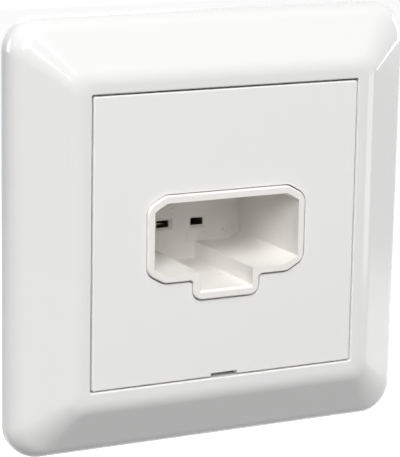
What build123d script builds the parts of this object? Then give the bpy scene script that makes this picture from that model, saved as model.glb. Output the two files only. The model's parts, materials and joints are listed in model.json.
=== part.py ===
from build123d import *
import os
from math import cos, radians, sin, tan

# Luminaire wall outlet: a square cover frame, a snap-on centre plate and a keyed socket insert.
# Millimetres. X runs to the right, Y into the wall and Z up. The wall is the plane Y = 0.
# A height is measured from the wall into the room, so what lies behind the wall has a negative one.

# Cover frame
frame_side = 85.0
frame_height = 10.2
frame_wall = 1.8
frame_corner_radius = 6.5
shoulder_height = 4.2
shoulder_radius = 4.5
lip_width = 3.15
lip_radius = 6.2
mitre_radius = 3.5
well_wall = 1.6
well_foot_height = 4.8
ledge_reach = 1.7
ledge_thickness = 1.4
post_radius = 2.0
post_inset = 10.7
frame_rib_thickness = 1.0
frame_rib_offset = 14.0
frame_rib_foot = 2.0

# Centre plate
plate_side = 56.6
plate_thickness = 2.0
plate_sink = 0.25
plate_gap = 0.3
plate_corner_radius = 0.5
plate_edge_bevel = 0.2
notch_width = 5.8
notch_height = 0.75
notch_room = 0.4
skirt_wall = 1.1
skirt_depth = 2.3
skirt_clearance = 0.3
collar_wall = 1.2
collar_depth = 2.4
plate_rib_thickness = 1.0
plate_rib_depth = 1.6
plate_rib_offset = 11.0
hook_clearance = 0.2
hook_thickness = 1.3
hook_width = 6.0
hook_reach = 1.1
hook_foot = 2.5
barb_thickness = 0.7
barb_clearance = 0.3

# Socket shroud
rim_proud = 0.6
rim_width = 1.43
rim_gap = 0.24
rim_edge_bevel = 0.25
rim_corner_radius = 2.5
key_foot_radius = 2.0
key_root_radius = 0.8
key_root_least = 0.3
recess_half_width = 15.6
recess_half_height = 7.1
recess_side_half = 5.6
recess_bevel_angle = 30.0
recess_depth = 24.2
key_half_width = 5.72
key_drop = 10.62
key_lead_in = 0.45
draft_angle = 0.6
back_wall = 2.0
pocket_half_width = 3.5
pocket_top = -4.15
pocket_shelf = -6.85
pocket_depth = 0.15
ring_radius = 3.4
ring_x = -1.2
ring_z = 3.3
ring_depth = 0.12

# Contact row
slot_width = 2.8
slot_height = 1.5
slot_lead_in = 0.58
slot_wall = 1.0
slot_pocket_width = 4.6
slot_pocket_height = 3.4
slot_pitch = 7.73
slot_row_x = -1.7
slot_row_z = -2.9

# Shroud flange and its screws
flange_thickness = 2.0
flange_margin = 3.7
flange_corner_radius = 3.0
flange_centre_z = -2.0
flange_half_height = 13.0
flange_screw_x = 21.8
flange_screw_spread = 9.3
gusset_thickness = 1.2
gusset_height = 2.0

# Mounting plate of sheet steel
sheet = 1.2
mounting_side = 71.0
mounting_corner_radius = 6.0
body_clearance = 0.4
box_screw_spacing = 60.0
box_slot_width = 4.2
box_slot_length = 7.0
lug_x = 18.0
lug_line = 23.0
lug_width = 7.0
lug_height = 7.0
window_width = 5.0
window_low = 2.7
window_high = 5.4
lance_length = 6.0
lance_clearance = 0.3
collar_radius = 2.4
collar_length = 1.2

# Terminal housing and its rear cover
housing_half_height = 8.5
housing_depth = 15.35
housing_edge_radius = 1.0
ear_radius = 3.0
ear_x = 19.0
chamber_width = 6.1
chamber_top = 2.0
cover_thickness = 2.4
wire_hole_radius = 1.5
wire_lead_in = 0.6

# Contacts, pillar terminals and screws
contact_width = 2.4
contact_thickness = 0.4
contact_spread = 2.2
contact_pinch = 0.1
contact_flare = 0.2
contact_stagger = 2.2
contact_tip_reach = 1.6
earth_tip_gap = 0.6
power_tip_gap = 2.4
pillar_width = 5.4
pillar_length = 6.5
pillar_height = 8.0
pillar_floor = 3.4
wire_bore_radius = 1.8
wire_bore_depth = 5.5
thread_radius = 1.45
thread_clearance = 0.05
hole_clearance = 0.15
terminal_head_radius = 2.1
terminal_head_height = 1.8
terminal_head_gap = 0.4
access_radius = 2.4
screw_tip_gap = 0.1
pan_head_radius = 2.6
pan_head_height = 1.8
drive_slot_width = 0.7
drive_slot_depth = 0.9
flange_screw_length = 4.2
housing_screw_bite = 7.5
housing_hole_spare = 0.5

# Sizes worked out from the ones above
frame_half = frame_side / 2
plate_half = plate_side / 2
opening_half = plate_half + plate_gap
lip_half = opening_half + lip_width
post_place = frame_half - post_inset
plate_face = frame_height - plate_sink
plate_rear = plate_face - plate_thickness
rim_face = plate_face + rim_proud
recess_floor = rim_face - recess_depth
shroud_rear = recess_floor - back_wall
flange_top = sheet + flange_thickness
flange_half_width = flange_screw_x + flange_margin
housing_half_width = recess_half_width + rim_width
housing_rear = shroud_rear - housing_depth
cover_rear = housing_rear - cover_thickness
pillar_front = housing_rear + pillar_length
pillar_base = slot_row_z - pillar_floor
pillar_top = pillar_base + pillar_height
screw_hole_radius = thread_radius + thread_clearance
clear_hole_radius = thread_radius + hole_clearance
hook_face = lug_line - hook_clearance
slot_positions = [slot_row_x + step * slot_pitch for step in (-1, 0, 1)]
pole_names = ("neutral", "earth", "live")


def slab(sketch, low, high):
    """The sketch, drawn as seen from the room, made solid between two heights."""
    return extrude(Plane.XZ.offset(low) * sketch, amount=high - low)


def upright(sketch, x, width):
    """A sketch of (minus height, Z) points made solid across X, centred on x."""
    return extrude(Plane.YZ.offset(x) * sketch, amount=width / 2, both=True)


def ring(outer_half, inner_half):
    """A square ring, as seen from the room."""
    return Rectangle(2 * outer_half, 2 * outer_half) - Rectangle(2 * inner_half, 2 * inner_half)


def polygon(points):
    """A closed outline through the points."""
    return make_face(Polyline(*points, close=True))


# Cover frame
def frame_form(half, shoulder, height, lip):
    """A square dome with sharp corners: upright sides, and slopes up to a flat lip."""
    bar = upright(polygon([
        (0, -half), (-shoulder, -half), (-height, -lip), (-height, lip), (-shoulder, half), (0, half),
    ]), 0, 2 * half)
    return bar & (Rot(0, 90, 0) * bar)


def frame_plan(half, corner):
    """The frame's rounded outline, as high as the frame."""
    return slab(RectangleRounded(2 * half, 2 * half, corner), 0, frame_height)


def lies_at(edge, y):
    """Whether an edge lies in the plane at that Y."""
    box = edge.bounding_box()
    return abs(box.min.Y - y) < 0.001 and abs(box.max.Y - y) < 0.001


def on_diagonal(edge):
    """Whether an edge runs along one of the frame's four corners."""
    points = [edge.position_at(share) for share in (0, 0.5, 1)]
    return all(abs(abs(point.X) - abs(point.Z)) < 0.001 for point in points)


def frame_outside():
    """The frame's outer form, with both bends and the corners rounded over."""
    body = frame_form(frame_half, shoulder_height, frame_height, lip_half)
    for level, radius in ((shoulder_height, shoulder_radius), (frame_height, lip_radius)):
        seam = body.edges().filter_by(lambda e: lies_at(e, -level))
        body = fillet(seam, radius)
    body = fillet(body.edges().filter_by(on_diagonal), mitre_radius)
    return body & frame_plan(frame_half, frame_corner_radius)


def frame_inset(depth):
    """The outer form moved in by a depth on every side, with plain bends and mitres."""
    slope = (frame_height - shoulder_height) / (frame_half - lip_half)
    lean = depth * (1 + slope * slope) ** 0.5
    shoulder = shoulder_height + depth * slope - lean
    lip = frame_half - (frame_height - depth - shoulder_height + lean) / slope
    form = frame_form(frame_half - depth, shoulder, frame_height - depth, lip)
    return form & frame_plan(frame_half - depth, frame_corner_radius - depth)


def frame_webs():
    """The ribs from the well out to the sides, and the four posts that stand on the steel plate."""
    well_middle = opening_half + well_wall / 2
    reach = frame_half - frame_wall / 2 - well_middle
    rib = Rectangle(frame_rib_thickness, reach)
    webs = []
    for side in range(4):
        for offset in (-frame_rib_offset, frame_rib_offset):
            place = Rot(0, 0, 90 * side) * Pos(offset, well_middle + reach / 2)
            webs.append(slab(place * rib, frame_rib_foot, frame_height))
    for x in (-post_place, post_place):
        for z in (-post_place, post_place):
            webs.append(slab(Pos(x, z) * Circle(post_radius), sheet, frame_height))
    return webs


def cover_frame():
    """The hollow frame with the well that the centre plate sits in, its ledge, ribs and posts."""
    well = slab(ring(opening_half + well_wall, opening_half), well_foot_height, frame_height)
    inner_half = opening_half - ledge_reach
    ledge = slab(ring(opening_half + well_wall / 2, inner_half), plate_rear - ledge_thickness, plate_rear)
    opening = slab(Rectangle(2 * opening_half, 2 * opening_half), 0, frame_height)
    webs = frame_inset(frame_wall / 2) & (Part() + frame_webs() + well)
    pocket = Rectangle(notch_width + 2 * notch_room, 2 * (notch_height + notch_room))
    pocket_floor = plate_rear - ledge_thickness / 2
    shell = frame_outside() - frame_inset(frame_wall) - opening
    return shell + webs + ledge - slab(Pos(0, -plate_half) * pocket, pocket_floor, plate_rear)


# Outline of the socket
def socket_outline(margin, foot_margin=0.0):
    """The bevelled oblong with its key below, grown by a margin; the key's foot can grow further."""
    slope_x, slope_z = sin(radians(recess_bevel_angle)), cos(radians(recess_bevel_angle))
    bevel = recess_half_width * slope_x + recess_side_half * slope_z + margin
    half_width = recess_half_width + margin
    half_height = recess_half_height + margin
    side_z = (bevel - half_width * slope_x) / slope_z
    top_x = (bevel - half_height * slope_z) / slope_x
    key = key_half_width + margin
    foot = key_drop + margin + foot_margin
    right = [
        (top_x, half_height), (half_width, side_z), (half_width, -side_z),
        (top_x, -half_height), (key, -half_height), (key, -foot),
    ]
    left = [(-x, z) for x, z in reversed(right)]
    return polygon(right + left)


def corners_at(sketch, x, z):
    """The sketch's corners at (x, z) and (-x, z)."""
    return sketch.vertices().filter_by(lambda v: abs(abs(v.X) - x) < 0.01 and abs(v.Y - z) < 0.01)


def rim_outline(margin):
    """The rounded outline of the shroud's rim and body, grown evenly by a margin."""
    grow = rim_width + margin
    key = key_half_width + grow
    sketch = socket_outline(grow, key_lead_in)
    roots = corners_at(sketch, key, -recess_half_height - grow)
    sketch = fillet(roots, max(key_root_radius - margin, key_root_least))
    feet = corners_at(sketch, key, -key_drop - key_lead_in - grow)
    sketch = fillet(feet, key_foot_radius + margin)
    corners = sketch.vertices().filter_by(lambda v: abs(v.X) > key + rim_corner_radius)
    return fillet(corners, rim_corner_radius + margin)


# Centre plate
def plate_hooks():
    """Four arms that reach back to the steel lugs, each with a barb for the lug's window."""
    hooks = []
    for side in (-1, 1):
        arm = polygon([
            (-plate_rear, side * hook_face), (-plate_rear, side * (hook_face - hook_thickness)),
            (-hook_foot, side * (hook_face - hook_thickness)), (-hook_foot, side * hook_face),
        ])
        barb = polygon([
            (-window_high, side * (hook_face - hook_thickness / 2)), (-window_high, side * (hook_face + hook_reach)),
            (barb_thickness - window_high, side * (hook_face + hook_reach)),
            (-hook_foot, side * hook_face), (-hook_foot, side * (hook_face - hook_thickness / 2)),
        ])
        for x in (-lug_x, lug_x):
            hooks.append(upright(arm, x, hook_width))
            hooks.append(upright(barb, x, window_width - 2 * barb_clearance))
    return hooks


def plate_ribs():
    """Stiffeners behind the plate, from the collar out to the skirt."""
    skirt_half = opening_half - ledge_reach - skirt_clearance
    low = plate_rear - plate_rib_depth
    ribs = []
    for x in (-plate_rib_offset, plate_rib_offset):
        for side, start in ((1, recess_half_height), (-1, recess_half_height)):
            inner = start + rim_width + rim_gap + collar_wall / 2
            length = skirt_half - skirt_wall / 2 - inner
            strip = Pos(x, side * (inner + length / 2)) * Rectangle(plate_rib_thickness, length)
            ribs.append(slab(strip, low, plate_rear))
    inner = recess_half_width + rim_width + rim_gap + collar_wall / 2
    length = skirt_half - skirt_wall / 2 - inner
    for side in (-1, 1):
        strip = Pos(side * (inner + length / 2), 0) * Rectangle(length, plate_rib_thickness)
        ribs.append(slab(strip, low, plate_rear))
    return ribs


def centre_plate():
    """The flat plate with its cut-out, pry notch, skirt, collar, ribs and hooks, one moulding."""
    plate = slab(RectangleRounded(2 * plate_half, 2 * plate_half, plate_corner_radius), plate_rear, plate_face)
    front = plate.edges().filter_by(lambda e: lies_at(e, -plate_face))
    plate = chamfer(front, plate_edge_bevel)
    skirt_half = opening_half - ledge_reach - skirt_clearance
    plate = plate + slab(ring(skirt_half, skirt_half - skirt_wall), plate_rear - skirt_depth, plate_rear)
    plate = plate + slab(rim_outline(rim_gap + collar_wall), plate_rear - collar_depth, plate_rear)
    for piece in plate_ribs() + plate_hooks():
        plate = plate + piece
    plate = plate - slab(rim_outline(rim_gap), 0, frame_height)
    notch = Pos(0, -plate_half) * Rectangle(notch_width, 2 * notch_height)
    return plate - slab(notch, plate_rear, plate_face)


# Socket shroud
def recess():
    """The drafted recess with its key channel and the channel's lead-in at the mouth."""
    shrink = recess_depth * tan(radians(draft_angle))
    mouth = Plane.XZ.offset(rim_face) * socket_outline(0)
    floor = Plane.XZ.offset(recess_floor) * socket_outline(-shrink)
    wedge = polygon([
        (-rim_face, -key_drop + key_lead_in), (-rim_face, -key_drop - key_lead_in),
        (key_lead_in - rim_face, -key_drop), (key_lead_in - rim_face, -key_drop + key_lead_in),
    ])
    return loft([mouth, floor], ruled=True) + upright(wedge, 0, 2 * key_half_width)


def contact_slot(x):
    """One slot through the back wall: sloped lead-in, throat, and a wider pocket for the contact."""
    place = Pos(x, slot_row_z)
    mouth = Rectangle(slot_width + 2 * slot_lead_in, slot_height + 2 * slot_lead_in)
    throat = Rectangle(slot_width, slot_height)
    lead = loft([
        Plane.XZ.offset(recess_floor) * (place * mouth),
        Plane.XZ.offset(recess_floor - slot_lead_in) * (place * throat),
    ], ruled=True)
    pocket = Rectangle(slot_pocket_width, slot_pocket_height)
    throat = slab(place * throat, shroud_rear, recess_floor - slot_lead_in)
    return lead + throat + slab(place * pocket, shroud_rear, recess_floor - slot_wall)


def back_wall_relief():
    """The shallow stepped pocket below the slots and the ring left by the ejector above them."""
    shrink = recess_depth * tan(radians(draft_angle))
    foot = -key_drop + shrink
    shelf_half = key_half_width - shrink
    stem = Pos(0, (pocket_top + foot) / 2) * Rectangle(2 * pocket_half_width, pocket_top - foot)
    shelf = Pos(0, (pocket_shelf + foot) / 2) * Rectangle(2 * shelf_half, pocket_shelf - foot)
    pocket = slab(stem + shelf, recess_floor - pocket_depth, recess_floor)
    mark = slab(Pos(ring_x, ring_z) * Circle(ring_radius), recess_floor - ring_depth, recess_floor)
    return pocket + mark


def shroud_flange():
    """The flange that sits on the steel plate, with its screw holes and gussets."""
    height = 2 * flange_half_height
    sketch = Pos(0, flange_centre_z) * RectangleRounded(2 * flange_half_width, height, flange_corner_radius)
    for x, z in flange_screw_places():
        sketch = sketch - Pos(x, z) * Circle(clear_hole_radius)
    flange = slab(sketch, sheet, flange_top)
    span = flange_half_width - housing_half_width
    for side in (-1, 1):
        strip = Pos(side * (housing_half_width + span / 2 - rim_width / 2), flange_centre_z)
        flange = flange + slab(strip * Rectangle(span, gusset_thickness), flange_top, flange_top + gusset_height)
    return flange


def flange_screw_places():
    """The four places where the flange is screwed to the steel plate."""
    heights = (flange_centre_z - flange_screw_spread, flange_centre_z + flange_screw_spread)
    return [(x, z) for z in heights for x in (-flange_screw_x, flange_screw_x)]


def socket_shroud():
    """The rim, the recess and its back wall, the flange and the two screw bosses, one moulding."""
    body = slab(rim_outline(0), shroud_rear, rim_face)
    front = body.edges().filter_by(lambda e: lies_at(e, -rim_face))
    body = chamfer(front, rim_edge_bevel) + shroud_flange()
    for x in (-ear_x, ear_x):
        body = body + slab(Pos(x, 0) * Circle(ear_radius), shroud_rear, sheet)
    body = body - recess() - back_wall_relief()
    for x in slot_positions:
        body = body - contact_slot(x)
    for x in (-ear_x, ear_x):
        depth = housing_screw_bite + housing_hole_spare
        body = body - slab(Pos(x, 0) * Circle(screw_hole_radius), shroud_rear, shroud_rear + depth)
    return body


# Mounting plate
def mounting_lug(x, side):
    """One lug bent up out of the sheet, with the window that a hook's barb snaps into."""
    near, far = side * lug_line, side * (lug_line + sheet)
    lug = upright(polygon([(0, near), (-lug_height, near), (-lug_height, far), (0, far)]), x, lug_width)
    window = Box(window_width, window_high - window_low, 4 * sheet)
    return lug - Pos(x, -(window_low + window_high) / 2, near) * window


def lance_window(side):
    """The opening that the lug's metal was bent out of, as seen from the room."""
    width = lug_width + 2 * lance_clearance
    return Pos(0, side * (lug_line + sheet + lance_length / 2)) * Rectangle(width, lance_length)


def mounting_plate():
    """The steel plate that is screwed to the wall box and carries the insert and the centre plate."""
    sketch = RectangleRounded(mounting_side, mounting_side, mounting_corner_radius)
    notch = Rectangle(2 * (ear_x + ear_radius + body_clearance), 2 * (ear_radius + body_clearance))
    sketch = sketch - rim_outline(body_clearance) - notch
    slot = SlotOverall(box_slot_length, box_slot_width)
    for x, z, turn in ((-1, 0, 0), (1, 0, 0), (0, -1, 90), (0, 1, 90)):
        place = Pos(x * box_screw_spacing / 2, z * box_screw_spacing / 2) * Rot(0, 0, turn)
        sketch = sketch - place * slot
    for x in (-lug_x, lug_x):
        for side in (-1, 1):
            sketch = sketch - Pos(x, 0) * lance_window(side)
    plate = slab(sketch, 0, sheet)
    for x, z in flange_screw_places():
        plate = plate + slab(Pos(x, z) * Circle(collar_radius), -collar_length, 0)
    for x, z in flange_screw_places():
        plate = plate - slab(Pos(x, z) * Circle(screw_hole_radius), -collar_length, sheet)
    for x in (-lug_x, lug_x):
        for side in (-1, 1):
            plate = plate + mounting_lug(x, side)
    return plate


# Terminal housing and rear cover
def housing_outline():
    """The block's outline with an ear for a screw at each end."""
    block = RectangleRounded(2 * housing_half_width, 2 * housing_half_height, housing_edge_radius)
    for x in (-ear_x, ear_x):
        block = block + Pos(x, 0) * Circle(ear_radius)
    return block


def terminal_housing():
    """The block behind the shroud with a chamber for each pole and an access hole for each screw."""
    block = slab(housing_outline(), housing_rear, shroud_rear)
    for x in (-ear_x, ear_x):
        block = block - slab(Pos(x, 0) * Circle(clear_hole_radius), housing_rear, shroud_rear)
    height = chamber_top - pillar_base
    chamber = Pos(0, pillar_base + height / 2) * Rectangle(chamber_width, height)
    for x in slot_positions:
        block = block - slab(Pos(x, 0) * chamber, housing_rear, shroud_rear)
        access = Cylinder(access_radius, housing_half_height - chamber_top + 2, align=(Align.CENTER, Align.CENTER, Align.MIN))
        block = block - Pos(x, -screw_height(), chamber_top - 1) * access
    return block


def screw_height():
    """The height of the terminal screws' axes."""
    return housing_rear + pillar_length / 2


def rear_cover():
    """The plate that closes the chambers, with a funnelled wire entry for each pole."""
    cover = slab(housing_outline(), cover_rear, housing_rear)
    for x in (-ear_x, ear_x):
        cover = cover - slab(Pos(x, 0) * Circle(clear_hole_radius), cover_rear, housing_rear)
    for x in slot_positions:
        place = Pos(x, slot_row_z)
        cover = cover - slab(place * Circle(wire_hole_radius), cover_rear, housing_rear)
        mouth = cover.edges().filter_by(GeomType.CIRCLE).filter_by(lambda e: lies_at(e, -cover_rear))
        mouth = mouth.filter_by(lambda e: abs(e.arc_center.X - x) < 0.01)
        cover = chamfer(mouth, wire_lead_in)
    return cover


# Contacts, terminals and screws
def contact(x, tip_gap):
    """A fork of strip brass: a web on the terminal and two leaves for the blade, the lower one longer."""
    web_front = pillar_front + contact_thickness
    web_half = contact_spread + contact_thickness
    web = polygon([
        (-web_front, slot_row_z - web_half), (-pillar_front, slot_row_z - web_half),
        (-pillar_front, slot_row_z + web_half), (-web_front, slot_row_z + web_half),
    ])
    piece = upright(web, x, contact_width)
    for side in (-1, 1):
        tip = shroud_rear - tip_gap - (contact_stagger if side > 0 else 0)
        pinch = tip - contact_tip_reach
        inner = [(web_front, contact_spread), (pinch, contact_pinch), (tip, contact_flare)]
        near = [(-h, slot_row_z + side * z) for h, z in inner]
        far = [(-h, slot_row_z + side * (z + contact_thickness)) for h, z in reversed(inner)]
        piece = piece + upright(polygon(near + far), x, contact_width)
    return piece


def terminal(x):
    """A brass pillar with a blind wire bore from behind and a threaded hole from above."""
    size = Box(pillar_width, pillar_length, pillar_height)
    pillar = Pos(x, -screw_height(), pillar_base + pillar_height / 2) * size
    pillar = chamfer(pillar.edges().filter_by(Axis.Z), contact_thickness)
    bore = slab(Pos(x, slot_row_z) * Circle(wire_bore_radius), housing_rear, housing_rear + wire_bore_depth)
    length = pillar_top - slot_row_z
    thread = Cylinder(screw_hole_radius, length, align=(Align.CENTER, Align.CENTER, Align.MIN))
    return pillar - bore - Pos(x, -screw_height(), slot_row_z) * thread


def terminal_screw(x):
    """The slotted screw that clamps a wire in its pillar."""
    tip = slot_row_z + wire_bore_radius + screw_tip_gap
    seat = pillar_top + terminal_head_gap
    low = (Align.CENTER, Align.CENTER, Align.MIN)
    screw = Pos(x, -screw_height(), tip) * Cylinder(thread_radius, seat - tip, align=low)
    screw = screw + Pos(x, -screw_height(), seat) * Cylinder(terminal_head_radius, terminal_head_height, align=low)
    slot = Box(2 * terminal_head_radius, drive_slot_width, 2 * drive_slot_depth)
    return screw - Pos(x, -screw_height(), seat + terminal_head_height) * slot


def pan_screw(x, z, seat, length, facing):
    """A pan-head screw along Y; facing is 1 when its head looks into the room."""
    head_top = seat + facing * pan_head_height
    low, high = min(seat, head_top), max(seat, head_top)
    head = slab(Pos(x, z) * Circle(pan_head_radius), low, high)
    end = seat - facing * length
    shank = slab(Pos(x, z) * Circle(thread_radius), min(seat, end), max(seat, end))
    slot = Pos(x, z) * Rectangle(2 * pan_head_radius, drive_slot_width)
    bottom = head_top - facing * drive_slot_depth
    return head + shank - slab(slot, min(bottom, head_top), max(bottom, head_top))


def write(shape, name):
    """One STEP file per piece, named after it."""
    export_step(shape, "parts/" + name + ".step")


def main():
    """Builds every piece in its place and writes it."""
    os.makedirs("parts", exist_ok=True)
    write(cover_frame(), "cover_frame")
    write(centre_plate(), "centre_plate")
    write(socket_shroud(), "socket_shroud")
    write(mounting_plate(), "mounting_plate")
    write(terminal_housing(), "terminal_housing")
    write(rear_cover(), "rear_cover")
    for x, pole in zip(slot_positions, pole_names):
        tip_gap = earth_tip_gap if pole == "earth" else power_tip_gap
        write(contact(x, tip_gap), "contact_" + pole)
        write(terminal(x), "terminal_" + pole)
        write(terminal_screw(x), "terminal_screw_" + pole)
    for number, (x, z) in enumerate(flange_screw_places(), 1):
        write(pan_screw(x, z, flange_top, flange_screw_length, 1), "flange_screw_" + str(number))
    housing_screw_length = shroud_rear + housing_screw_bite - cover_rear
    for x, side in ((-ear_x, "left"), (ear_x, "right")):
        write(pan_screw(x, 0, cover_rear, housing_screw_length, -1), "housing_screw_" + side)


main()
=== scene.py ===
import json
import logging
import math
from dataclasses import dataclass, field
from enum import Enum
from typing import Iterable, Optional, Sequence

import bmesh
import bpy
import numpy as np
from mathutils import Matrix, Vector


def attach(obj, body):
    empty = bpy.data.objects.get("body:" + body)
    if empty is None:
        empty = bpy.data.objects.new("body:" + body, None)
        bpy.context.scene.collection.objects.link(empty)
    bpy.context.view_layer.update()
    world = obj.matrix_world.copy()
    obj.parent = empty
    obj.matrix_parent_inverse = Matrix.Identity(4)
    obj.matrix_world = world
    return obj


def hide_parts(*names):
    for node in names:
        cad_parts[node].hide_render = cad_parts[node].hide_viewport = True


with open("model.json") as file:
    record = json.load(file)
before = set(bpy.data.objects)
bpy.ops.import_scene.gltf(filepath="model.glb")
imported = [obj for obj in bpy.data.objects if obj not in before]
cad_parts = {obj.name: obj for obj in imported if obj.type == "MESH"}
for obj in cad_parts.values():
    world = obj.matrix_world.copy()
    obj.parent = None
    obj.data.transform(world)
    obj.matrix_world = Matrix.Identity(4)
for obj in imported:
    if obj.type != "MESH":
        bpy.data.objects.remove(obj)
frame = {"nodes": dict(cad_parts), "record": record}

MM = 0.001
FACING_ROOM = Matrix(((1, 0, 0, 0), (0, 0, -1, 0), (0, 1, 0, 0), (0, 0, 0, 1)))
ALONG_SIDE = Matrix(((1, 0, 0, 0), (0, -1, 0, 0), (0, 0, 1, 0), (0, 0, 0, 1)))
PLASTIC_IOR = 1.5
COAT_ROUGHNESS = 0.04
MERGE_DISTANCE = 0.002  # millimetres
SHARP_CORNER = 32.0  # degrees
BEVEL_FROM = 38.0  # degrees
log = logging.getLogger("outlet")


class Slot(Enum):
    """The record's material slots."""

    GLOSS_WHITE = "gloss_white"
    SATIN_WHITE = "satin_white"
    SOCKET_WHITE = "socket_white"
    ZINC_STEEL = "zinc_steel"
    HOUSING_GREY = "housing_grey"
    CONTACT_BRASS = "contact_brass"
    TERMINAL_BRASS = "terminal_brass"
    SCREW_STEEL = "screw_steel"


# Shader helpers


def new_group(name: str, inputs: Sequence[tuple], outputs: Sequence[tuple]) -> bpy.types.NodeTree:
    """Makes an empty shader node group.

    Args:
        name: the group's name.
        inputs: (name, socket type, default) of each input.
        outputs: (name, socket type) of each output.

    Returns:
        The group, with its input and output nodes in place.
    """
    tree = bpy.data.node_groups.new(name, "ShaderNodeTree")
    for label, kind, value in inputs:
        socket = tree.interface.new_socket(label, in_out="INPUT", socket_type=kind)
        socket.default_value = value
    for label, kind in outputs:
        tree.interface.new_socket(label, in_out="OUTPUT", socket_type=kind)
    tree.nodes.new("NodeGroupInput").name = "in"
    tree.nodes.new("NodeGroupOutput").name = "out"
    return tree


def add(tree: bpy.types.NodeTree, kind: str, links: Optional[dict] = None, **settings) -> bpy.types.Node:
    """Adds a node, sets its properties and fills its inputs.

    Args:
        tree: the tree that gets the node.
        kind: the node's type.
        links: input name or number to a value or to an output socket.
        settings: the node's own properties.

    Returns:
        The new node.
    """
    node = tree.nodes.new(kind)
    for name, value in settings.items():
        setattr(node, name, value)
    for key, value in (links or {}).items():
        if isinstance(value, bpy.types.NodeSocket):
            tree.links.new(value, node.inputs[key])
        else:
            node.inputs[key].default_value = value
    return node


def math_node(tree: bpy.types.NodeTree, operation: str, *values, clamp: bool = False) -> bpy.types.NodeSocket:
    """One Math node's output.

    Args:
        tree: the tree that gets the node.
        operation: the Math node's operation.
        values: its inputs in order, as numbers or sockets.
        clamp: whether the result is held between nought and one.

    Returns:
        The node's output socket.
    """
    node = add(tree, "ShaderNodeMath", dict(enumerate(values)), operation=operation, use_clamp=clamp)
    return node.outputs[0]


def grain_group() -> bpy.types.NodeTree:
    """The fine sparked grain and slow tone drift of a moulding, shared by every plastic.

    Two noises give the height: a slow ripple, and a fine grain on top of it. A third gives the tone.

    Returns:
        The group.
    """
    tree = new_group(
        "moulded_grain",
        [
            ("Vector", "NodeSocketVector", (0, 0, 0)),
            ("Grain Scale", "NodeSocketFloat", 9000.0),
            ("Grain Depth", "NodeSocketFloat", 0.2),
            ("Ripple Scale", "NodeSocketFloat", 220.0),
            ("Ripple Depth", "NodeSocketFloat", 0.1),
        ],
        [("Normal", "NodeSocketVector"), ("Tone", "NodeSocketFloat")],
    )
    source, out = tree.nodes["in"].outputs, tree.nodes["out"].inputs
    fine = add(
        tree, "ShaderNodeTexNoise",
        {"Vector": source["Vector"], "Scale": source["Grain Scale"], "Detail": 2.0, "Roughness": 0.6},
    )
    ripple = add(
        tree, "ShaderNodeTexNoise",
        {"Vector": source["Vector"], "Scale": source["Ripple Scale"], "Detail": 1.0, "Roughness": 0.4},
    )
    tone = add(tree, "ShaderNodeTexNoise", {"Vector": source["Vector"], "Scale": 38.0, "Detail": 3.0})
    first = add(
        tree, "ShaderNodeBump",
        {"Strength": source["Ripple Depth"], "Distance": 0.0004, "Height": ripple.outputs["Fac"]},
    )
    second = add(
        tree, "ShaderNodeBump",
        {
            "Strength": source["Grain Depth"], "Distance": 0.00004,
            "Height": fine.outputs["Fac"], "Normal": first.outputs["Normal"],
        },
    )
    tree.links.new(second.outputs["Normal"], out["Normal"])
    tree.links.new(tone.outputs["Fac"], out["Tone"])
    return tree


def plating_group() -> bpy.types.NodeTree:
    """The drawn streaks and soft cloudiness of plated or rolled metal.

    The streaks are a noise stretched along X, and the clouds an even noise.

    Returns:
        The group.
    """
    tree = new_group(
        "plated_metal",
        [
            ("Vector", "NodeSocketVector", (0, 0, 0)),
            ("Streak Scale", "NodeSocketFloat", 900.0),
            ("Streak Depth", "NodeSocketFloat", 0.2),
            ("Cloud Scale", "NodeSocketFloat", 160.0),
        ],
        [("Normal", "NodeSocketVector"), ("Streaks", "NodeSocketFloat"), ("Clouds", "NodeSocketFloat")],
    )
    source, out = tree.nodes["in"].outputs, tree.nodes["out"].inputs
    squeezed = add(
        tree, "ShaderNodeMapping", {"Vector": source["Vector"], "Scale": (0.04, 1.0, 1.0)},
    )
    streaks = add(
        tree, "ShaderNodeTexNoise",
        {"Vector": squeezed.outputs[0], "Scale": source["Streak Scale"], "Detail": 4.0, "Roughness": 0.6},
    )
    clouds = add(
        tree, "ShaderNodeTexNoise",
        {"Vector": source["Vector"], "Scale": source["Cloud Scale"], "Detail": 5.0, "Distortion": 0.6},
    )
    bump = add(
        tree, "ShaderNodeBump",
        {"Strength": source["Streak Depth"], "Distance": 0.00006, "Height": streaks.outputs["Fac"]},
    )
    tree.links.new(bump.outputs["Normal"], out["Normal"])
    tree.links.new(streaks.outputs["Fac"], out["Streaks"])
    tree.links.new(clouds.outputs["Fac"], out["Clouds"])
    return tree


def shade_spot_group() -> bpy.types.NodeTree:
    """A soft round spot of painted shade, which darkens a surface where shade falls on it.

    The mask is the radius less the distance from the centre, divided by the softness, held
    between nought and one, times the depth.

    Returns:
        The group.
    """
    tree = new_group(
        "painted_shade_spot",
        [
            ("Vector", "NodeSocketVector", (0, 0, 0)),
            ("Centre", "NodeSocketVector", (0, 0, 0)),
            ("Radius", "NodeSocketFloat", 0.0004),
            ("Softness", "NodeSocketFloat", 0.0001),
            ("Depth", "NodeSocketFloat", 0.3),
        ],
        [("Mask", "NodeSocketFloat")],
    )
    source, out = tree.nodes["in"].outputs, tree.nodes["out"].inputs
    apart = add(
        tree, "ShaderNodeVectorMath", {0: source["Vector"], 1: source["Centre"]}, operation="DISTANCE",
    )
    past = math_node(tree, "SUBTRACT", source["Radius"], apart.outputs["Value"])
    faded = math_node(tree, "DIVIDE", past, source["Softness"], clamp=True)
    tree.links.new(math_node(tree, "MULTIPLY", faded, source["Depth"]), out["Mask"])
    return tree


class Groups:
    """The shared node groups, made once."""

    def __init__(self) -> None:
        self.grain = grain_group()
        self.plating = plating_group()
        # soft round spots of painted shade
        self.mark = shade_spot_group()


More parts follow.
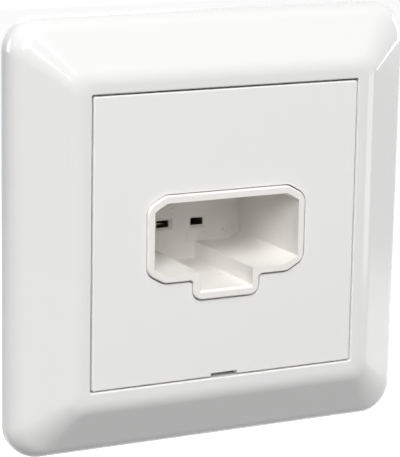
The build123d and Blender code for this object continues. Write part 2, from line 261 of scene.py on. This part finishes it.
def blank_material(name: str) -> tuple:
    """A new node material.

    Args:
        name: the material's name.

    Returns:
        The material, its tree, its Principled shader and its object coordinates.
    """
    material = bpy.data.materials.new(name)
    material.use_nodes = True
    tree = material.node_tree
    shader = next(n for n in tree.nodes if n.type == "BSDF_PRINCIPLED")
    coordinates = add(tree, "ShaderNodeTexCoord").outputs["Object"]
    return material, tree, shader, coordinates


@dataclass(frozen=True)
class Plastic:
    """A moulded thermoplastic.

    Args:
        slot: the record's slot it belongs to.
        light: colour where the tone is lightest.
        dark: colour where the tone is darkest.
        roughness: mean roughness.
        grain_depth: depth of the fine grain, from 0 to 1.
        ripple_depth: depth of the slow ripple, from 0 to 1.
        coat: weight of a clear gloss.
        shade_spots: centre, radius, softness and depth of each soft round spot of painted shade, in
            millimetres.
    """

    slot: Slot
    light: tuple
    dark: tuple
    roughness: float
    grain_depth: float
    ripple_depth: float
    coat: float = 0.0
    shade_spots: tuple = ()

    def with_painted_shade(
        self, tree: bpy.types.NodeTree, groups: Groups,
        colour: bpy.types.NodeSocket, place: bpy.types.NodeSocket,
    ) -> bpy.types.NodeSocket:
        """Darkens the colour in each soft round spot of painted shade.

        Args:
            tree: the material's tree.
            groups: the shared node groups.
            colour: the colour without the painted shade.
            place: the object coordinates.

        Returns:
            The colour with the painted shade.
        """
        for centre, radius, soft, depth in self.shade_spots:
            mark = add(tree, "ShaderNodeGroup", node_tree=groups.mark)
            tree.links.new(place, mark.inputs["Vector"])
            mark.inputs["Centre"].default_value = [c * MM for c in centre]
            mark.inputs["Radius"].default_value = radius * MM
            mark.inputs["Softness"].default_value = soft * MM
            mark.inputs["Depth"].default_value = depth
            darker = add(
                tree, "ShaderNodeMix", {"Factor": mark.outputs["Mask"]},
                data_type="RGBA", blend_type="MULTIPLY",
            )
            tree.links.new(colour, darker.inputs[6])
            darker.inputs[7].default_value = (*PAINTED_SHADE_TONE, 1)
            colour = darker.outputs[2]
        return colour

    def material(self, groups: Groups) -> bpy.types.Material:
        """Builds the material.

        Args:
            groups: the shared node groups.

        Returns:
            The new material.
        """
        material, tree, shader, place = blank_material(self.slot.value)
        grain = add(tree, "ShaderNodeGroup", node_tree=groups.grain)
        tree.links.new(place, grain.inputs["Vector"])
        grain.inputs["Grain Depth"].default_value = self.grain_depth
        grain.inputs["Ripple Depth"].default_value = self.ripple_depth
        tint = add(tree, "ShaderNodeMix", {"Factor": grain.outputs["Tone"]}, data_type="RGBA")
        tint.inputs[6].default_value = (*self.dark, 1)
        tint.inputs[7].default_value = (*self.light, 1)
        # painted shade in soft round spots, where the finish has any
        colour = self.with_painted_shade(tree, groups, tint.outputs[2], place)
        tree.links.new(colour, shader.inputs["Base Color"])
        spread = add(
            tree, "ShaderNodeMapRange",
            {"Value": grain.outputs["Tone"], "To Min": self.roughness * 0.9, "To Max": self.roughness * 1.1},
        )
        tree.links.new(spread.outputs[0], shader.inputs["Roughness"])
        tree.links.new(grain.outputs["Normal"], shader.inputs["Normal"])
        shader.inputs["IOR"].default_value = PLASTIC_IOR
        shader.inputs["Coat Weight"].default_value = self.coat
        shader.inputs["Coat Roughness"].default_value = COAT_ROUGHNESS
        return material


@dataclass(frozen=True)
class Metal:
    """A plated or plain metal.

    Args:
        slot: the record's slot it belongs to.
        bright: colour of the clean metal.
        dull: colour of the cloudy patches.
        roughness: mean roughness.
        streak_depth: depth of the drawn streaks, from 0 to 1.
    """

    slot: Slot
    bright: tuple
    dull: tuple
    roughness: float
    streak_depth: float

    def material(self, groups: Groups) -> bpy.types.Material:
        """Builds the material.

        Args:
            groups: the shared node groups.

        Returns:
            The new material.
        """
        material, tree, shader, place = blank_material(self.slot.value)
        plating = add(tree, "ShaderNodeGroup", node_tree=groups.plating)
        tree.links.new(place, plating.inputs["Vector"])
        plating.inputs["Streak Depth"].default_value = self.streak_depth
        cloud = add(
            tree, "ShaderNodeMapRange",
            {"Value": plating.outputs["Clouds"], "From Min": 0.35, "From Max": 0.7},
        )
        tint = add(tree, "ShaderNodeMix", {"Factor": cloud.outputs[0]}, data_type="RGBA")
        tint.inputs[6].default_value = (*self.bright, 1)
        tint.inputs[7].default_value = (*self.dull, 1)
        tree.links.new(tint.outputs[2], shader.inputs["Base Color"])
        spread = add(
            tree, "ShaderNodeMapRange",
            {
                "Value": plating.outputs["Streaks"],
                "To Min": self.roughness * 0.8, "To Max": self.roughness * 1.25,
            },
        )
        tree.links.new(spread.outputs[0], shader.inputs["Roughness"])
        tree.links.new(plating.outputs["Normal"], shader.inputs["Normal"])
        shader.inputs["Metallic"].default_value = 1.0
        return material


# The colour multiplied in at each spot of painted shade.
PAINTED_SHADE_TONE = (0.45, 0.44, 0.41)
# Spots of painted shade in the socket's recess: on its back wall, broadest in the corner beside the right
# wall, and on the channel floor below.
SOCKET_SHADE_SPOTS = (
    ((11.75, 13.65, -4.97), 0.34, 0.2, 0.5),
    ((12.6, 13.65, -5.4), 0.3, 0.25, 0.25),
    ((8.45, 4.15, -10.62), 0.5, 0.25, 0.6),
    ((4.06, -0.1, -10.62), 0.8, 0.7, 0.25),
    ((14.0, 13.65, -5.0), 2.4, 2.3, 0.22),
)
FINISHES = (
    Plastic(Slot.GLOSS_WHITE, (0.85, 0.85, 0.842), (0.84, 0.84, 0.832), 0.12, 0.03, 0.02, 0.5),
    Plastic(Slot.SATIN_WHITE, (0.905, 0.901, 0.887), (0.893, 0.889, 0.875), 0.42, 0.25, 0.03),
    Plastic(
        Slot.SOCKET_WHITE, (0.922, 0.904, 0.868), (0.908, 0.889, 0.853), 0.40, 0.25, 0.03, 0.0,
        SOCKET_SHADE_SPOTS,
    ),
    Plastic(Slot.HOUSING_GREY, (0.50, 0.51, 0.51), (0.46, 0.47, 0.47), 0.48, 0.5, 0.05),
    Metal(Slot.ZINC_STEEL, (0.66, 0.69, 0.71), (0.52, 0.55, 0.57), 0.34, 0.35),
    Metal(Slot.CONTACT_BRASS, (0.74, 0.63, 0.42), (0.60, 0.48, 0.30), 0.30, 0.25),
    Metal(Slot.TERMINAL_BRASS, (0.78, 0.60, 0.32), (0.62, 0.45, 0.23), 0.34, 0.4),
    Metal(Slot.SCREW_STEEL, (0.66, 0.66, 0.63), (0.50, 0.50, 0.46), 0.30, 0.3),
)


# Mesh helpers


def rounded_path(corners: Sequence[tuple], steps: int, guard: float) -> np.ndarray:
    """A path with its corners turned into arcs.

    Each corner is a point and a radius. The arc touches both sides at the radius divided by the
    tangent of half the corner's angle, and turns about a centre at the radius divided by its sine.
    Beside every arc stands a guard point on the straight run, so that the flat beside a round
    stays flat when it is shaded smooth.

    Args:
        corners: (x, y, radius) of every corner, ends included.
        steps: segments in each arc.
        guard: distance of a guard point from its arc.

    Returns:
        The points, one per row.
    """
    points = []
    last = len(corners) - 1
    for number, (x, y, radius) in enumerate(corners):
        here = np.array((x, y), float)
        if number in (0, last) or radius <= 0:
            points.append(here)
            continue
        before = np.array(corners[number - 1][:2], float) - here
        after = np.array(corners[number + 1][:2], float) - here
        before, after = before / np.linalg.norm(before), after / np.linalg.norm(after)
        half = math.acos(float(np.clip(before @ after, -1, 1))) / 2
        run = radius / math.tan(half)
        centre = here + (before + after) / np.linalg.norm(before + after) * radius / math.sin(half)
        start, end = here + before * run - centre, here + after * run - centre
        turn = math.acos(float(np.clip(start @ end / radius**2, -1, 1)))
        t = np.linspace(0, 1, steps + 1)[:, None]
        arc = (np.sin((1 - t) * turn) * start + np.sin(t * turn) * end) / math.sin(turn) + centre
        points.append(here + before * (run + guard))
        points.extend(arc)
        points.append(here + after * (run + guard))
    return np.array(points)


def square_ring(half: float, radius: float, arc_steps: int, side_steps: int) -> np.ndarray:
    """A rounded square's points as (x, z), turning from +X towards +Z.

    Each quarter is an arc about a corner's centre and then evenly spaced points on the side.

    Args:
        half: half of its side.
        radius: radius of its corners.
        arc_steps: segments in each corner.
        side_steps: segments on each side.

    Returns:
        The points, one per row, the same number for every size and radius.
    """
    rows = []
    reach = half - radius
    angles = np.linspace(0, math.pi / 2, arc_steps + 1)
    along = np.linspace(0, 1, side_steps + 1)[1:-1, None]
    for quarter in range(4):
        turn = quarter * math.pi / 2
        cos, sin = math.cos(turn), math.sin(turn)
        arc = np.column_stack((reach + radius * np.cos(angles), reach + radius * np.sin(angles)))
        side = arc[-1] + along * np.array((-2 * reach, 0.0))
        rows.append(np.vstack((arc, side)) @ np.array(((cos, sin), (-sin, cos))))
    return np.vstack(rows)


def mesh_object(name: str, points: np.ndarray, faces: Iterable[Sequence[int]]) -> bpy.types.Object:
    """Makes a mesh object.

    Args:
        name: the object's name.
        points: its points in millimetres, one per row.
        faces: the numbers of each face's points.

    Returns:
        The new object.
    """
    mesh = bpy.data.meshes.new(name)
    mesh.from_pydata((points * MM).tolist(), [], [list(f) for f in faces])
    mesh.validate()
    thing = bpy.data.objects.new(name, mesh)
    bpy.context.scene.collection.objects.link(thing)
    return thing


def swept_rings(name: str, rings: np.ndarray, closed: bool) -> bpy.types.Object:
    """A skin through equal rings of points.

    Args:
        name: the object's name.
        rings: points by ring, by place on the ring, by coordinate.
        closed: whether the last ring joins the first.

    Returns:
        The new object.
    """
    count, size = rings.shape[:2]
    index = np.arange(count * size).reshape(count, size)
    upper = np.roll(index, -1, axis=0) if closed else index[1:]
    lower = index if closed else index[:-1]
    faces = np.stack((lower, np.roll(lower, -1, axis=1), np.roll(upper, -1, axis=1), upper), axis=-1)
    return mesh_object(name, rings.reshape(-1, 3), faces.reshape(-1, 4).tolist())


def tidy_normals(thing: bpy.types.Object, sharp: float = SHARP_CORNER) -> None:
    """Turns the faces outward, shades them smooth and keeps real corners sharp.

    Args:
        thing: the object.
        sharp: the angle in degrees past which an edge stays sharp.
    """
    work = bmesh.new()
    work.from_mesh(thing.data)
    bmesh.ops.recalc_face_normals(work, faces=work.faces)
    work.to_mesh(thing.data)
    work.free()
    thing.data.shade_smooth()
    thing.data.set_sharp_from_angle(angle=math.radians(sharp))
    weigh_normals(thing)
    apply_modifiers(thing)


def apply_modifiers(thing: bpy.types.Object) -> None:
    """Replaces the object's mesh by its evaluated one and drops its modifiers."""
    graph = bpy.context.evaluated_depsgraph_get()
    graph.update()
    mesh = bpy.data.meshes.new_from_object(thing.evaluated_get(graph))
    old = thing.data
    thing.modifiers.clear()
    thing.data = mesh
    bpy.data.meshes.remove(old)


def weigh_normals(thing: bpy.types.Object) -> None:
    """Keeps large flats flat where they are shaded smooth into a rounded edge."""
    weigh = thing.modifiers.new("weigh", "WEIGHTED_NORMAL")
    weigh.mode = "FACE_AREA"
    weigh.weight = 50
    weigh.keep_sharp = True


def prism(name: str, outline: Sequence[tuple], low: float, high: float, frame_of: Matrix) -> bpy.types.Object:
    """An outline made solid between two levels.

    Args:
        name: the object's name.
        outline: its corners in millimetres, in order.
        low: the lower level in millimetres.
        high: the upper level in millimetres.
        frame_of: turns (outline x, outline y, level) into the row's X, Y and Z.

    Returns:
        The new object.
    """
    flat = np.array(outline, float)
    count = len(flat)
    points = np.vstack([np.column_stack((flat, np.full(count, level))) for level in (low, high)])
    turned = points @ np.array(frame_of.to_3x3()).T + np.array(frame_of.translation)
    around = np.arange(count)
    after = np.roll(around, -1)
    sides = np.column_stack((around, after, after + count, around + count)).tolist()
    return mesh_object(name, turned, [around[::-1].tolist(), (around + count).tolist(), *sides])


def joined(name: str, things: Sequence[bpy.types.Object]) -> bpy.types.Object:
    """Makes one object of several.

    Args:
        name: the new object's name.
        things: the objects, which are removed.

    Returns:
        The new object.
    """
    work = bmesh.new()
    for thing in things:
        work.from_mesh(thing.data)
        bpy.data.objects.remove(thing)
    bmesh.ops.recalc_face_normals(work, faces=work.faces)
    mesh = bpy.data.meshes.new(name)
    work.to_mesh(mesh)
    work.free()
    thing = bpy.data.objects.new(name, mesh)
    bpy.context.scene.collection.objects.link(thing)
    return thing


def ease_edges(thing: bpy.types.Object, width: float, segments: int) -> None:
    """Rounds an object's corners slightly and applies it.

    Args:
        thing: the object.
        width: width of the rounding in millimetres.
        segments: segments across the rounding.
    """
    bevel = thing.modifiers.new("ease", "BEVEL")
    bevel.width = width * MM
    bevel.segments = segments
    bevel.limit_method = "ANGLE"
    bevel.angle_limit = math.radians(BEVEL_FROM)
    bevel.use_clamp_overlap = True
    bevel.miter_outer = "MITER_ARC"
    apply_modifiers(thing)
    thing.data.shade_smooth()
    thing.data.set_sharp_from_angle(angle=math.radians(SHARP_CORNER))
    weigh_normals(thing)
    apply_modifiers(thing)


def eased_copy(node: str, width: float, segments: int, flat: float = 0.5) -> bpy.types.Object:
    """A copy of a node with merged faces and slightly rounded edges.

    Args:
        node: the CAD node's name.
        width: width of the rounding in millimetres.
        segments: segments across the rounding.
        flat: faces that meet at less than this many degrees become one.

    Returns:
        The new object.
    """
    source = frame["nodes"][node]
    thing = bpy.data.objects.new(node + "_finished", source.data.copy())
    bpy.context.scene.collection.objects.link(thing)
    work = bmesh.new()
    work.from_mesh(thing.data)
    bmesh.ops.remove_doubles(work, verts=work.verts, dist=MERGE_DISTANCE * MM)
    bmesh.ops.dissolve_limit(
        work, angle_limit=math.radians(flat), verts=work.verts, edges=work.edges,
        use_dissolve_boundaries=False,
    )
    work.to_mesh(thing.data)
    work.free()
    ease_edges(thing, width, segments)
    return thing


# The object's pieces


@dataclass
class CoverFrame:
    """The gloss frame: one shell with a sloped front, and the ribs and posts inside it.

    Lengths are in millimetres and heights are counted from the wall into the room.
    """

    half: float = 42.5
    height: float = 10.2
    wall: float = 1.8
    corner: float = 6.5
    lip_corner: float = 3.0
    shoulder: float = 4.2
    shoulder_round: float = 4.5
    lip_half: float = 31.75
    lip_round: float = 6.2
    opening_half: float = 28.6
    opening_round: float = 0.3
    opening_corner: float = 0.35
    inner_corner: float = 0.4
    lip_flat: float = 1.7
    guard: float = 0.04
    outer_steps: int = 18
    inner_steps: int = 10
    overlap: float = 0.2
    well_wall: float = 1.6
    well_foot: float = 4.8
    ledge_top: float = 7.95
    ledge_floor: float = 7.25
    ledge_low: float = 6.55
    ledge_half: float = 26.9
    notch_half: float = 3.3
    rib_offset: float = 14.0
    rib_thickness: float = 1.0
    rib_foot: float = 2.0
    post_place: float = 31.8
    post_radius: float = 2.0
    post_foot: float = 1.2
    arc_steps: int = 40
    side_steps: int = 36

    def corner_radius(self, half: np.ndarray) -> np.ndarray:
        """The outline's corner radius where the outer form is this wide."""
        slope = (self.corner - self.lip_corner) / (self.half - self.lip_half)
        return self.corner - (self.half - half) * slope

    def inner_sizes(self) -> tuple:
        """The hollow's sizes, one wall inside the outer form.

        The slope moves in square to itself, so its height drops by the wall times the slope's
        length per unit of width.

        Returns:
            The shoulder height and the lip's half width.
        """
        slope = (self.height - self.shoulder) / (self.half - self.lip_half)
        lean = self.wall * math.hypot(1, slope)
        shoulder = self.shoulder + self.wall * slope - lean
        lip = self.half - (self.height - self.wall - self.shoulder + lean) / slope
        return shoulder, lip

    def profile(self) -> np.ndarray:
        """The section's closed outline.

        The corner radius grows evenly with the half width outside, and fades to the opening's
        own radius across the lip.

        Returns:
            Rows of (half width, height, corner radius).
        """
        shoulder, lip = self.inner_sizes()
        outer = rounded_path(
            [
                (self.half, 0.0, 0), (self.half, self.shoulder, self.shoulder_round),
                (self.lip_half, self.height, self.lip_round),
                (self.opening_half, self.height, self.opening_round),
                (self.opening_half, self.ledge_floor, 0),
            ],
            self.outer_steps, self.guard,
        )
        well = np.array([
            (self.ledge_half, self.ledge_floor), (self.ledge_half, self.ledge_low),
            (self.opening_half, self.ledge_low), (self.opening_half, self.well_foot),
            (self.opening_half + self.well_wall, self.well_foot),
        ])
        inner = rounded_path(
            [
                (self.opening_half + self.well_wall, self.height - self.wall, 0),
                (lip, self.height - self.wall, self.lip_round - self.wall),
                (self.half - self.wall, shoulder, self.shoulder_round - self.wall),
                (self.half - self.wall, 0.0, 0),
            ],
            self.inner_steps, self.guard,
        )
        full = np.maximum(self.corner_radius(outer[:, 0]), self.opening_corner)
        fade = (outer[:, 0] - self.opening_half) / (self.lip_half - self.lip_flat - self.opening_half)
        share = np.clip(fade, 0, 1)
        outer_radii = full * share + self.opening_corner * (1 - share)
        well_radii = np.full(len(well), self.opening_corner)
        inner_radii = np.maximum(self.corner_radius(inner[:, 0] + self.wall) - self.wall, self.inner_corner)
        rows = np.vstack((outer, well, inner))
        return np.column_stack((rows, np.concatenate((outer_radii, well_radii, inner_radii))))

    def shell(self) -> bpy.types.Object:
        """The frame's skin, swept round the outline in one closed loop."""
        rings = []
        for half, height, radius in self.profile():
            flat = square_ring(half, radius, self.arc_steps, self.side_steps)
            rings.append(np.column_stack((flat[:, 0], np.full(len(flat), -height), flat[:, 1])))
        thing = swept_rings("cover_shell", np.array(rings), closed=True)
        tidy_normals(thing, 30)
        return thing

    def ledge(self) -> bpy.types.Object:
        """The upper half of the ledge under the plate, with the gap behind the pry notch."""
        far, near, gap = self.opening_half + 0.1, self.ledge_half, self.notch_half
        outline = [
            (gap, -far), (far, -far), (far, far), (-far, far), (-far, -far), (-gap, -far),
            (-gap, -near), (-near, -near), (-near, near), (near, near), (near, -near), (gap, -near),
        ]
        return prism("ledge", outline, self.ledge_floor, self.ledge_top, FACING_ROOM)

    def ribs(self) -> list[bpy.types.Object]:
        """The eight ribs between the well and the sides."""
        shoulder, lip = self.inner_sizes()
        start, end = self.opening_half + self.well_wall - self.overlap, self.half - self.wall + self.overlap
        under = self.height - self.wall + self.overlap
        outline = [
            (start, self.rib_foot), (end, self.rib_foot), (end, shoulder), (lip, under), (start, under),
        ]
        half = self.rib_thickness / 2
        things = []
        for side in range(4):
            for offset in (-self.rib_offset, self.rib_offset):
                turn = Matrix.Rotation(side * math.pi / 2, 4, "Y") @ ALONG_SIDE
                things.append(prism("rib", outline, offset - half, offset + half, turn))
        return things

    def posts(self) -> list[bpy.types.Object]:
        """The four posts that stand on the steel plate."""
        around = np.linspace(0, 2 * math.pi, 33)[:-1]
        circle = self.post_radius * np.column_stack((np.cos(around), np.sin(around)))
        things = []
        for x in (-self.post_place, self.post_place):
            for z in (-self.post_place, self.post_place):
                under = self.height - self.wall
                things.append(prism("post", circle + (x, z), self.post_foot, under, FACING_ROOM))
        return things

    def build(self) -> list[bpy.types.Object]:
        """Makes the frame's pieces.

        Returns:
            The skin, and the ledge with the ribs and posts.
        """
        inside = joined("cover_ribs", [self.ledge(), *self.ribs(), *self.posts()])
        ease_edges(inside, 0.1, 2)
        pieces = [self.shell(), inside]
        for piece in pieces:
            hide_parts("cover_frame")
        return pieces


@dataclass(frozen=True)
class Lamp:
    """A soft rectangular lamp: name, azimuth and elevation in degrees, watts, and size in metres."""

    name: str
    azimuth: float
    elevation: float
    power: float
    size: tuple = (0.9, 0.9)


LAMPS = (
    Lamp("key_left", -30, 30, 21.8),
    Lamp("key_high", -15, 44, 22.2),
    Lamp("top", -15, 60, 10.0),
    Lamp("side_left", -60, 30, 0.4),
    Lamp("strip_right", 58, -12, 3.2, (0.95, 0.6)),
    Lamp("behind_right", 98, 6, 20.0),
    Lamp("behind_left", -122, 10, 10.0),
    Lamp("behind", 165, 22, 16.0),
)


@dataclass
class Studio:
    """The camera, the lamps, the backdrop and the floor."""

    place: tuple = (-0.203098, -0.389369, 0.096635)
    right: tuple = (0.88875, -0.45808, 0.01714)
    up: tuple = (0.08462, 0.20068, 0.97600)
    ahead: tuple = (0.45052, 0.86596, -0.21712)
    lens: float = 180.49
    floor_height: float = -0.5
    room_light: float = 0.01
    lamp_distance: float = 2.1

    def camera(self) -> None:
        """Makes the camera at the photograph's place."""
        data = bpy.data.cameras.new("camera")
        data.lens = self.lens
        data.sensor_width = 36
        data.clip_start = 0.01
        data.clip_end = 50
        thing = bpy.data.objects.new("camera", data)
        bpy.context.scene.collection.objects.link(thing)
        back = [-c for c in self.ahead]
        turn = Matrix((self.right, self.up, back)).transposed().to_4x4()
        thing.matrix_world = Matrix.Translation(self.place) @ turn
        bpy.context.scene.camera = thing

    def lamp(self, lamp: Lamp) -> None:
        """Makes one soft lamp that faces the object.

        Its direction comes from the azimuth, to the right of the wall's normal as seen from the
        room, and from the elevation above the horizon.

        Args:
            lamp: the lamp's place, power and size.
        """
        side, rise = math.radians(lamp.azimuth), math.radians(lamp.elevation)
        towards = Vector((
            math.sin(side) * math.cos(rise), -math.cos(side) * math.cos(rise), math.sin(rise),
        ))
        data = bpy.data.lights.new(lamp.name, "AREA")
        data.shape = "RECTANGLE"
        data.size, data.size_y = lamp.size
        data.energy = lamp.power
        thing = bpy.data.objects.new(lamp.name, data)
        bpy.context.scene.collection.objects.link(thing)
        thing.location = towards * self.lamp_distance
        thing.rotation_mode = "QUATERNION"
        thing.rotation_quaternion = (-towards).to_track_quat("-Z", "Y")

    def shown_white(self, tree: bpy.types.NodeTree) -> bpy.types.NodeSocket:
        """One where the camera, a gloss or a clear thing looks at the backdrop, and nought for its light."""
        path = add(tree, "ShaderNodeLightPath")
        either = math_node(tree, "MAXIMUM", path.outputs["Is Camera Ray"], path.outputs["Is Glossy Ray"])
        return math_node(tree, "MAXIMUM", either, path.outputs["Is Transmission Ray"])

    def world(self) -> None:
        """A white backdrop to look at, and a dim even room as light."""
        world = bpy.data.worlds.new("backdrop")
        world.use_nodes = True
        bpy.context.scene.world = world
        tree = world.node_tree
        tree.nodes.clear()
        room = add(tree, "ShaderNodeBackground", {"Color": (1, 1, 1, 1), "Strength": self.room_light})
        white = add(tree, "ShaderNodeBackground", {"Color": (1, 1, 1, 1), "Strength": 1.0})
        mix = add(
            tree, "ShaderNodeMixShader",
            {0: self.shown_white(tree), 1: room.outputs[0], 2: white.outputs[0]},
        )
        add(tree, "ShaderNodeOutputWorld", {"Surface": mix.outputs[0]})

    def floor(self) -> None:
        """A pale floor below the object that shows white, with only the object's shadow on it."""
        material = bpy.data.materials.new("floor")
        material.use_nodes = True
        tree = material.node_tree
        tree.nodes.clear()
        pale = add(tree, "ShaderNodeBsdfDiffuse", {"Color": (0.6, 0.6, 0.6, 1)})
        dim = add(tree, "ShaderNodeBsdfDiffuse", {"Color": (0.03, 0.03, 0.03, 1)})
        lift = add(tree, "ShaderNodeEmission", {"Color": (1, 1, 1, 1), "Strength": 0.93})
        seen = add(tree, "ShaderNodeAddShader", {0: pale.outputs[0], 1: lift.outputs[0]})
        mix = add(
            tree, "ShaderNodeMixShader",
            {0: self.shown_white(tree), 1: dim.outputs[0], 2: seen.outputs[0]},
        )
        add(tree, "ShaderNodeOutputMaterial", {"Surface": mix.outputs[0]})
        bpy.ops.mesh.primitive_plane_add(size=8, location=(0, 0, self.floor_height))
        plane = bpy.context.object
        plane.name = "floor"
        plane.data.materials.append(material)

    def build(self) -> None:
        """Sets up the whole studio."""
        self.camera()
        self.world()
        self.floor()
        for lamp in LAMPS:
            self.lamp(lamp)


@dataclass
class Outlet:
    """The whole object: its finishes and its pieces."""

    groups: Groups = field(default_factory=Groups)
    cover: CoverFrame = field(default_factory=CoverFrame)
    plate_play: tuple = (0.17, 0.0, -0.07)
    socket_play: tuple = (0.03, 0.0, -0.04)
    edge_round: float = 0.12
    edge_rounds: dict = field(default_factory=lambda: {"centre_plate": 0.05, "socket_shroud": 0.07})

    def finishes(self) -> dict:
        """One material per slot, by the slot's name."""
        return {finish.slot.value: finish.material(self.groups) for finish in FINISHES}

    def build(self) -> None:
        """Makes every piece, gives it its finish and its body."""
        materials = self.finishes()
        slots = {s["node"]: s["material_slot"] for s in frame["record"]["subparts"]}
        pieces = [(piece, slots["cover_frame"]) for piece in self.cover.build()]
        for node in sorted(frame["nodes"]):
            if node == "cover_frame":
                continue
            piece = eased_copy(node, self.edge_rounds.get(node, self.edge_round), 2)
            play = {"centre_plate": self.plate_play, "socket_shroud": self.socket_play}.get(node)
            if play:
                piece.data.transform(Matrix.Translation(Vector(play) * MM))
            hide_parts(node)
            pieces.append((piece, slots[node]))
        for piece, slot in pieces:
            piece.data.materials.clear()
            piece.data.materials.append(materials[slot])
            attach(piece, "root")
            log.info("%s: %d faces, %s", piece.name, len(piece.data.polygons), slot)
        for node, thing in frame["nodes"].items():
            for place in thing.material_slots:
                place.material = materials[slots[node]]


def main() -> None:
    """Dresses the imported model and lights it."""
    logging.basicConfig(level=logging.INFO, format="%(name)s %(message)s")
    bpy.context.scene.view_settings.view_transform = "Standard"
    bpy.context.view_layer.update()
    Studio().build()
    Outlet().build()


if __name__ == "__main__":
    main()
